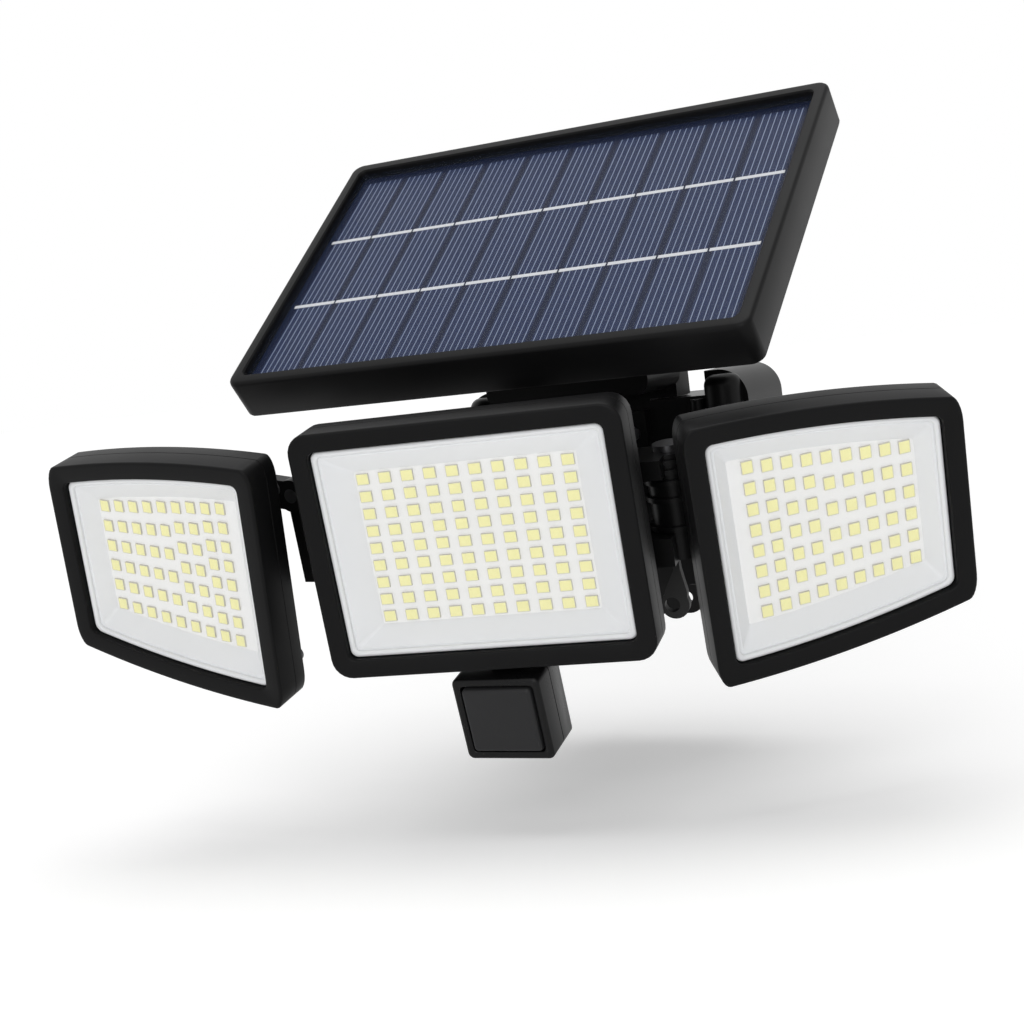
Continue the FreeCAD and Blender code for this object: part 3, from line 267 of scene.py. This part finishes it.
# ------------------------------------------------------------ cups behind the frames
# The rear shell of each head, black plastic with a flat floor and rounded rear edge. The side
# heads carry two hinge ears on it; the middle one has the sensor's socket under it.
def bar(bm, x0, x1, y0, y1, z0, z1, soft=0.6):
    """A plain moulded block with softened edges."""
    made = bmesh.ops.create_cube(bm, size=1.0)["verts"]
    bmesh.ops.scale(bm, verts=made, vec=Vector((x1 - x0, y1 - y0, z1 - z0)))
    middle = Vector(((x0 + x1) / 2, (y0 + y1) / 2, (z0 + z1) / 2))
    bmesh.ops.translate(bm, verts=made, vec=middle)
    if soft:
        edges = list({e for v in made for e in v.link_edges})
        bmesh.ops.bevel(bm, geom=edges, offset=soft, segments=2, profile=0.5, affect="EDGES",
                        material=-1)
    return made


def round_bar(bm, axis, radius, low, high, x=0.0, y=0.0, z=0.0, soft=0.5, sides=40):
    """A turned or moulded rod along an axis, with softened rims."""
    profile = [(0.0, 0.0), (radius - soft, 0.0), (radius - soft * 0.3, soft * 0.3), (radius, soft),
               (radius, high - low - soft), (radius - soft * 0.3, high - low - soft * 0.3),
               (radius - soft, high - low), (0.0, high - low)]
    verts = [bm.verts.new((r, 0.0, h)) for r, h in profile]
    edges = [bm.edges.new(pair) for pair in zip(verts, verts[1:])]
    made = bmesh.ops.spin(bm, geom=verts + edges, cent=(0, 0, 0), axis=(0, 0, 1), dvec=(0, 0, 0),
                          angle=math.tau, steps=sides, use_merge=True, use_duplicate=False)
    all_verts = list({v for e in edges for v in e.verts} | {g for g in made["geom_last"]
                                                            if isinstance(g, bmesh.types.BMVert)})
    grown, stack = set(all_verts), list(all_verts)
    while stack:
        for edge in stack.pop().link_edges:
            for vert in edge.verts:
                if vert not in grown:
                    grown.add(vert)
                    stack.append(vert)
    aim = {"X": Matrix.Rotation(math.radians(90), 4, "Y"),
           "Y": Matrix.Rotation(math.radians(-90), 4, "X"),
           "Z": Matrix.Identity(4)}[axis]
    base = {"X": (low, y, z), "Y": (x, low, z), "Z": (x, y, low)}[axis]
    bmesh.ops.remove_doubles(bm, verts=list(grown), dist=1e-4)
    alive = [v for v in grown if v.is_valid]
    bmesh.ops.transform(bm, matrix=Matrix.Translation(Vector(base)) @ aim, verts=alive)
    return alive


for which in ("centre", "left", "right"):
    bend = CORNER[which]
    bm = bmesh.new()
    skin(bm, which, even((6.4, 2.4, -4.1), (6.4, 2.4, -0.5), (0.15, bend - 0.1, -0.5),
                         (0.15, bend - 0.1, -0.75),
                         (0, bend, -0.85), (0, bend, -5.7), (0.09, bend - 0.05, -6.06),
                         (0.38, bend - 0.2, -6.38), (0.8, bend - 0.5, -6.5)))
    if which == "centre":
        round_bar(bm, "Y", 4.6, -41.1, -36.5, x=0.57, z=-5.3)
    else:
        for side in (-1, 1):
            x0, x1 = (6.0, 9.0) if side > 0 else (-9.0, -6.0)
            bar(bm, x0, x1, -5.0, 5.0, -13.0, -6.3, 0.3)
            round_bar(bm, "X", 5.0, x0, x1, z=-13.0, soft=0.3)
    finish_piece(bm, which + "_rear_cup", HEAD[which], BODY[which], [black_plastic],
                 [which + "_back"], weld=0)


# ------------------------------------------------------------ reflectors and boards
# White glossy mouldings: a rounded lip that stands in the black frame, a fine groove round the
# cover, and four slopes down to the flat white board that carries the chips.
white_gloss = moulded_plastic("white_reflector", (0.76, 0.77, 0.785), (0.81, 0.82, 0.83), 0.30, 0.02)
white_board = moulded_plastic("white_board", (0.86, 0.86, 0.855), (0.90, 0.90, 0.895), 0.45, 0.05)
for which in ("centre", "left", "right"):
    slope = 17.3 if which == "centre" else 13.2
    bm = bmesh.new()
    skin(bm, which, [(6.3, 6.3, 2.5, 0.0), (6.3, 6.3, 2.5, 4.9), (6.42, 6.42, 2.45, 5.3),
                     (6.75, 6.75, 2.3, 5.6),
                     (7.25, 7.25, 2.1, 5.72), (7.75, 7.75, 1.9, 5.6), (8.08, 8.08, 1.7, 5.3),
                     (8.2, 8.2, 1.7, 4.9), (8.2, 8.2, 1.7, 4.4), (9.1, 9.1, 1.6, 4.4),
                     (slope, 15.2, 0.7, 0.0)],
         ring=True)
    finish_piece(bm, which + "_white_reflector", HEAD[which], BODY[which], [white_gloss],
                 [which + "_reflector"], smooth=25)
    bm = bmesh.new()
    skin(bm, which, [(slope - 3, 12.2, 1.0, -1.6), (slope - 3, 12.2, 1.0, 0.0)])
    finish_piece(bm, which + "_chip_board", HEAD[which], BODY[which], [white_board],
                 [which + "_board"])


# ------------------------------------------------------------ light chips
# Surface mount packages, 4.0 by 3.5 mm: a pale body with a sunk window of yellow phosphor. The
# middle head has ten columns of nine; a side head has nine columns that fan out.
chip_body = Finish("chip_body", Base_Color=(0.55, 0.52, 0.42, 1), Roughness=0.5).material
phosphor = Finish("phosphor", Roughness=0.55)
grainy = phosphor.noise(1500.0, 2.0)
phosphor.feed("Base Color", phosphor.blend(grainy, (0.88, 0.83, 0.33), (0.96, 0.93, 0.43)))
phosphor.bump(grainy, 0.3, 0.0002)
CHIP_WIDE, CHIP_HIGH, CHIP_TALL = 4.0, 3.5, 0.7
SHARES = ((0.764, 6), (0.793, 6), (0.817, 6), (0.849, 6), (0.884, 6), (0.911, 7), (0.946, 7),
          (0.969, 8), (1.0, 8))
for which in ("centre", "left", "right"):
    if which == "centre":
        size_x, size_z = CHIP_WIDE, CHIP_HIGH
        spots = [((i - 4.5) * 7.41, (j - 4) * 5.68) for i in range(10) for j in range(9)]
    else:
        size_x, size_z = CHIP_HIGH, CHIP_WIDE
        spots = [(SIGN[which] * (4 - i) * 6.02, 24.1 * share * (2 * j / (count - 1) - 1))
                 for i, (share, count) in enumerate(SHARES) for j in range(count)]
    bm = bmesh.new()
    for x, z in spots:
        made = bmesh.ops.create_cube(bm, size=1.0)["verts"]
        bmesh.ops.scale(bm, verts=made, vec=Vector((size_x, size_z, CHIP_TALL)))
        bmesh.ops.translate(bm, verts=made, vec=Vector((x, z, CHIP_TALL / 2)))
        top = [f for f in {f for v in made for f in v.link_faces} if f.normal.z > 0.9]
        bmesh.ops.inset_region(bm, faces=top, thickness=0.2, depth=-0.06)
        top[0].material_index = 1
    finish_piece(bm, which + "_light_chips", HEAD[which], BODY[which], [chip_body, phosphor.material],
                 [which + "_leds"], weld=0)


# ------------------------------------------------------------ clear covers
# A thin clear polycarbonate sheet drops into the reflector's lip, with a polished edge.
clear_cover = Finish("clear_cover", Base_Color=(0.97, 0.98, 1.0, 1), Roughness=0.06, Alpha=0.07).material
for which in ("centre", "left", "right"):
    bm = bmesh.new()
    skin(bm, which, even((8.4, 1.6, 4.45), (8.4, 1.6, 5.0), (8.6, 1.5, 5.2)))
    finish_piece(bm, which + "_clear_cover", HEAD[which], BODY[which], [clear_cover],
                 [which + "_lens"])


# ------------------------------------------------------------ motion sensor
# Two glossy black shells with a seam between them, and a dark window that infrared passes
# through, raised inside a groove. It hangs from an upright stem under the middle head.
sensor_gloss = moulded_plastic("sensor_gloss", (0.004, 0.004, 0.0042), (0.006, 0.006, 0.0063), 0.26,
                               0.02, shine=0.15)
window_film = moulded_plastic("infrared_window", (0.020, 0.020, 0.021), (0.024, 0.024, 0.025), 0.30,
                              0.02, shine=0.12)
bm = bmesh.new()
skin(bm, "sensor", even((0, 2.0, -9.3), (0, 2.0, -1.0), (0.12, 1.95, -0.6), (0.42, 1.8, -0.2),
                        (0.85, 1.6, 0.0),
                        (2.2, 1.4, -0.1), (2.5, 1.3, -0.35), (2.6, 1.3, -0.9), (2.6, 1.3, -9.3)),
                        ring=True)
finish_piece(bm, "sensor_front_shell", sensor_place, "sensor", [sensor_gloss], ["sensor_front"])
bm = bmesh.new()
skin(bm, "sensor", even((1.6, 1.0, -16.7), (1.6, 1.0, -9.5), (0.2, 1.9, -9.5), (0.2, 1.9, -9.7),
                        (0, 2.0, -9.8),
                        (0, 2.0, -17.6), (0.25, 1.9, -18.05), (0.7, 1.7, -18.3)))
finish_piece(bm, "sensor_rear_shell", sensor_place, "sensor", [sensor_gloss], ["sensor_back"])
bm = bmesh.new()
skin(bm, "sensor", even((3.2, 1.3, -3.5), (3.2, 1.3, -0.2), (3.35, 1.25, 0.35), (3.75, 1.1, 0.75),
                        (4.4, 0.9, 0.9)))
finish_piece(bm, "sensor_raised_window", sensor_place, "sensor", [window_film], ["sensor_lens"])


# ------------------------------------------------------------ solar panel
# A deep black tray with a rounded rim. Ten cell strips lie on a dark sheet under the glass,
# each with seven fine silver lines and two soldered bars across it.
bm = bmesh.new()
skin(bm, "panel", even((7.6, 1.0, -13.2), (7.6, 1.0, -4.4), (4.6, 2.6, -4.4), (4.6, 2.6, -0.8),
                       (4.45, 2.6, -0.35),
                       (4.1, 2.8, 0.0), (1.3, 3.6, 0.0), (0.6, 3.8, -0.25), (0.15, 4.0, -0.8),
                       (0, 4.0, -1.6),
                       (0, 4.0, -14.6), (0.3, 3.9, -15.3), (0.9, 3.6, -15.6)))
finish_piece(bm, "panel_black_tray", panel_place, "panel", [black_plastic], ["panel_tray"])

silicon = Finish("silicon_cell", Roughness=0.32, Specular_IOR_Level=0.12)
streak = silicon.noise(260.0, 3.0)
silicon.feed("Base Color", silicon.blend(streak, (0.009, 0.018, 0.062), (0.013, 0.026, 0.085)))
backing = moulded_plastic("dark_backing", (0.004, 0.008, 0.028), (0.006, 0.010, 0.034), 0.35, 0.0,
                          shine=0.1)
silver = moulded_plastic("silver_lines", (0.26, 0.31, 0.44), (0.34, 0.40, 0.52), 0.4, 0.0, shine=0.2)
solder = moulded_plastic("solder_bars", (0.72, 0.73, 0.76), (0.82, 0.83, 0.85), 0.35, 0.1)
bm = bmesh.new()
bar(bm, -90.2, 90.2, -57.45, 57.45, -4.4, -4.0, 0)
for k in range(10):
    x = -88.3 + 17.66 * k
    for face in {f for v in bar(bm, x + 1.2, x + 16.6, -53.2, 53.8, -4.0, -3.95, 0)
                 for f in v.link_faces}:
        face.material_index = 1
    for n in range(7):
        fx = x + 2.1 + 2.27 * n
        for face in {f for v in bar(bm, fx - 0.15, fx + 0.15, -53.2, 53.8, -3.95, -3.92, 0)
                     for f in v.link_faces}:
            face.material_index = 2
    for y in (-18.2, 18.2):
        for face in {f for v in bar(bm, x, x + 16.9, y - 0.75, y + 0.75, -3.95, -3.85, 0)
                     for f in v.link_faces}:
            face.material_index = 3
finish_piece(bm, "panel_cell_strips", panel_place, "panel", [backing, silicon.material, silver, solder],
             ["panel_cells"], weld=0)
panel_gloss = Finish("panel_glass", Base_Color=(0.05, 0.07, 0.12, 1), Roughness=0.05,
                     Alpha=0.05).material
bm = bmesh.new()
skin(bm, "panel", even((4.8, 2.4, -3.8), (4.8, 2.4, -2.0), (5.0, 2.3, -1.8)))
finish_piece(bm, "panel_cover_glass", panel_place, "panel", [panel_gloss], ["panel_glass"])

# ------------------------------------------------------------ carried over metal and plastic
# Hinge arms, sleeves, pins, stand and housing keep their machined shapes and take the same
# moulded plastic, zinc plated steel and rubber as on the real product.
steel = Finish("zinc_steel", Metallic=1.0)
brushed = steel.noise(900.0, 3.0)
steel.feed("Base Color", steel.blend(brushed, (0.08, 0.08, 0.085), (0.14, 0.14, 0.145)))
steel.feed("Roughness", brushed * 0.2 + 0.3)
rubber = moulded_plastic("black_rubber", (0.008, 0.008, 0.008), (0.012, 0.012, 0.012), 0.6, 0.15)
blue_wrap = moulded_plastic("battery_wrap", (0.03, 0.12, 0.35), (0.04, 0.15, 0.4), 0.3)
green_mask = moulded_plastic("green_mask", (0.01, 0.12, 0.05), (0.015, 0.16, 0.07), 0.35)
grey_key = moulded_plastic("grey_key", (0.05, 0.05, 0.05), (0.07, 0.07, 0.07), 0.55, 0.1)
BY_SLOT = {"black_housing": hinge_plastic, "steel": steel.material, "black_rubber": rubber,
           "battery_wrap": blue_wrap, "green_board": green_mask, "grey_button": grey_key,
           "white_board": white_board, "white_reflector": white_gloss, "clear_cover": clear_cover,
           "panel_glazing": panel_gloss, "solar_cells": backing, "light_chips": phosphor.material,
           "sensor_window": window_film}
for entry in frame["record"]["subparts"]:
    mesh = frame["nodes"][entry["node"]].data
    mesh.materials.clear()
    mesh.materials.append(BY_SLOT[entry["material_slot"]])

# ------------------------------------------------------------ floor, world and lamps
# A white floor below, which keeps the light's soft shadow. The surround is white for the
# camera and in reflections, and lights the object only dimly.
bpy.ops.mesh.primitive_plane_add(size=8.0, location=(0, 0, -0.100))
floor = bpy.context.object
floor.name = "floor"
paper = Finish("white_floor", Base_Color=(0.8, 0.8, 0.8, 1), Roughness=1.0, Specular_IOR_Level=0.0)
paper.shader.inputs["Emission Color"].default_value = (1, 1, 1, 1)
paper.shader.inputs["Emission Strength"].default_value = 0.34
floor.data.materials.append(paper.material)

world = bpy.data.worlds.new("white_surround")
scene.world = world
world.use_nodes = True
nodes, links = world.node_tree.nodes, world.node_tree.links
seen = nodes.new("ShaderNodeLightPath")
shown = nodes.new("ShaderNodeBackground")
shown.inputs["Color"].default_value = (1, 1, 1, 1)
lit = nodes["Background"]
lit.inputs["Color"].default_value = (1, 1, 1, 1)
lit.inputs["Strength"].default_value = 0.30
choose = nodes.new("ShaderNodeMixShader")
any_seen = seen.outputs["Is Camera Ray"]
for ray in ("Is Glossy Ray", "Is Transmission Ray"):
    either = nodes.new("ShaderNodeMath")
    either.operation = "MAXIMUM"
    links.new(any_seen, either.inputs[0])
    links.new(seen.outputs[ray], either.inputs[1])
    any_seen = either.outputs[0]
links.new(any_seen, choose.inputs[0])
links.new(lit.outputs[0], choose.inputs[1])
links.new(shown.outputs[0], choose.inputs[2])
links.new(choose.outputs[0], nodes["World Output"].inputs["Surface"])


def soft_sun(name, energy, spread, aim):
    light = bpy.data.lights.new(name, "SUN")
    light.energy = energy
    light.angle = math.radians(spread)
    holder = bpy.data.objects.new(name, light)
    holder.rotation_mode = "QUATERNION"
    holder.rotation_quaternion = Vector(aim).to_track_quat("-Z", "Y")
    scene.collection.objects.link(holder)


soft_sun("overhead", 1.45, 50, (0.0, 0.03, -1.0))
soft_sun("from_the_front", 1.0, 40, (-0.25, 1.0, -0.38))
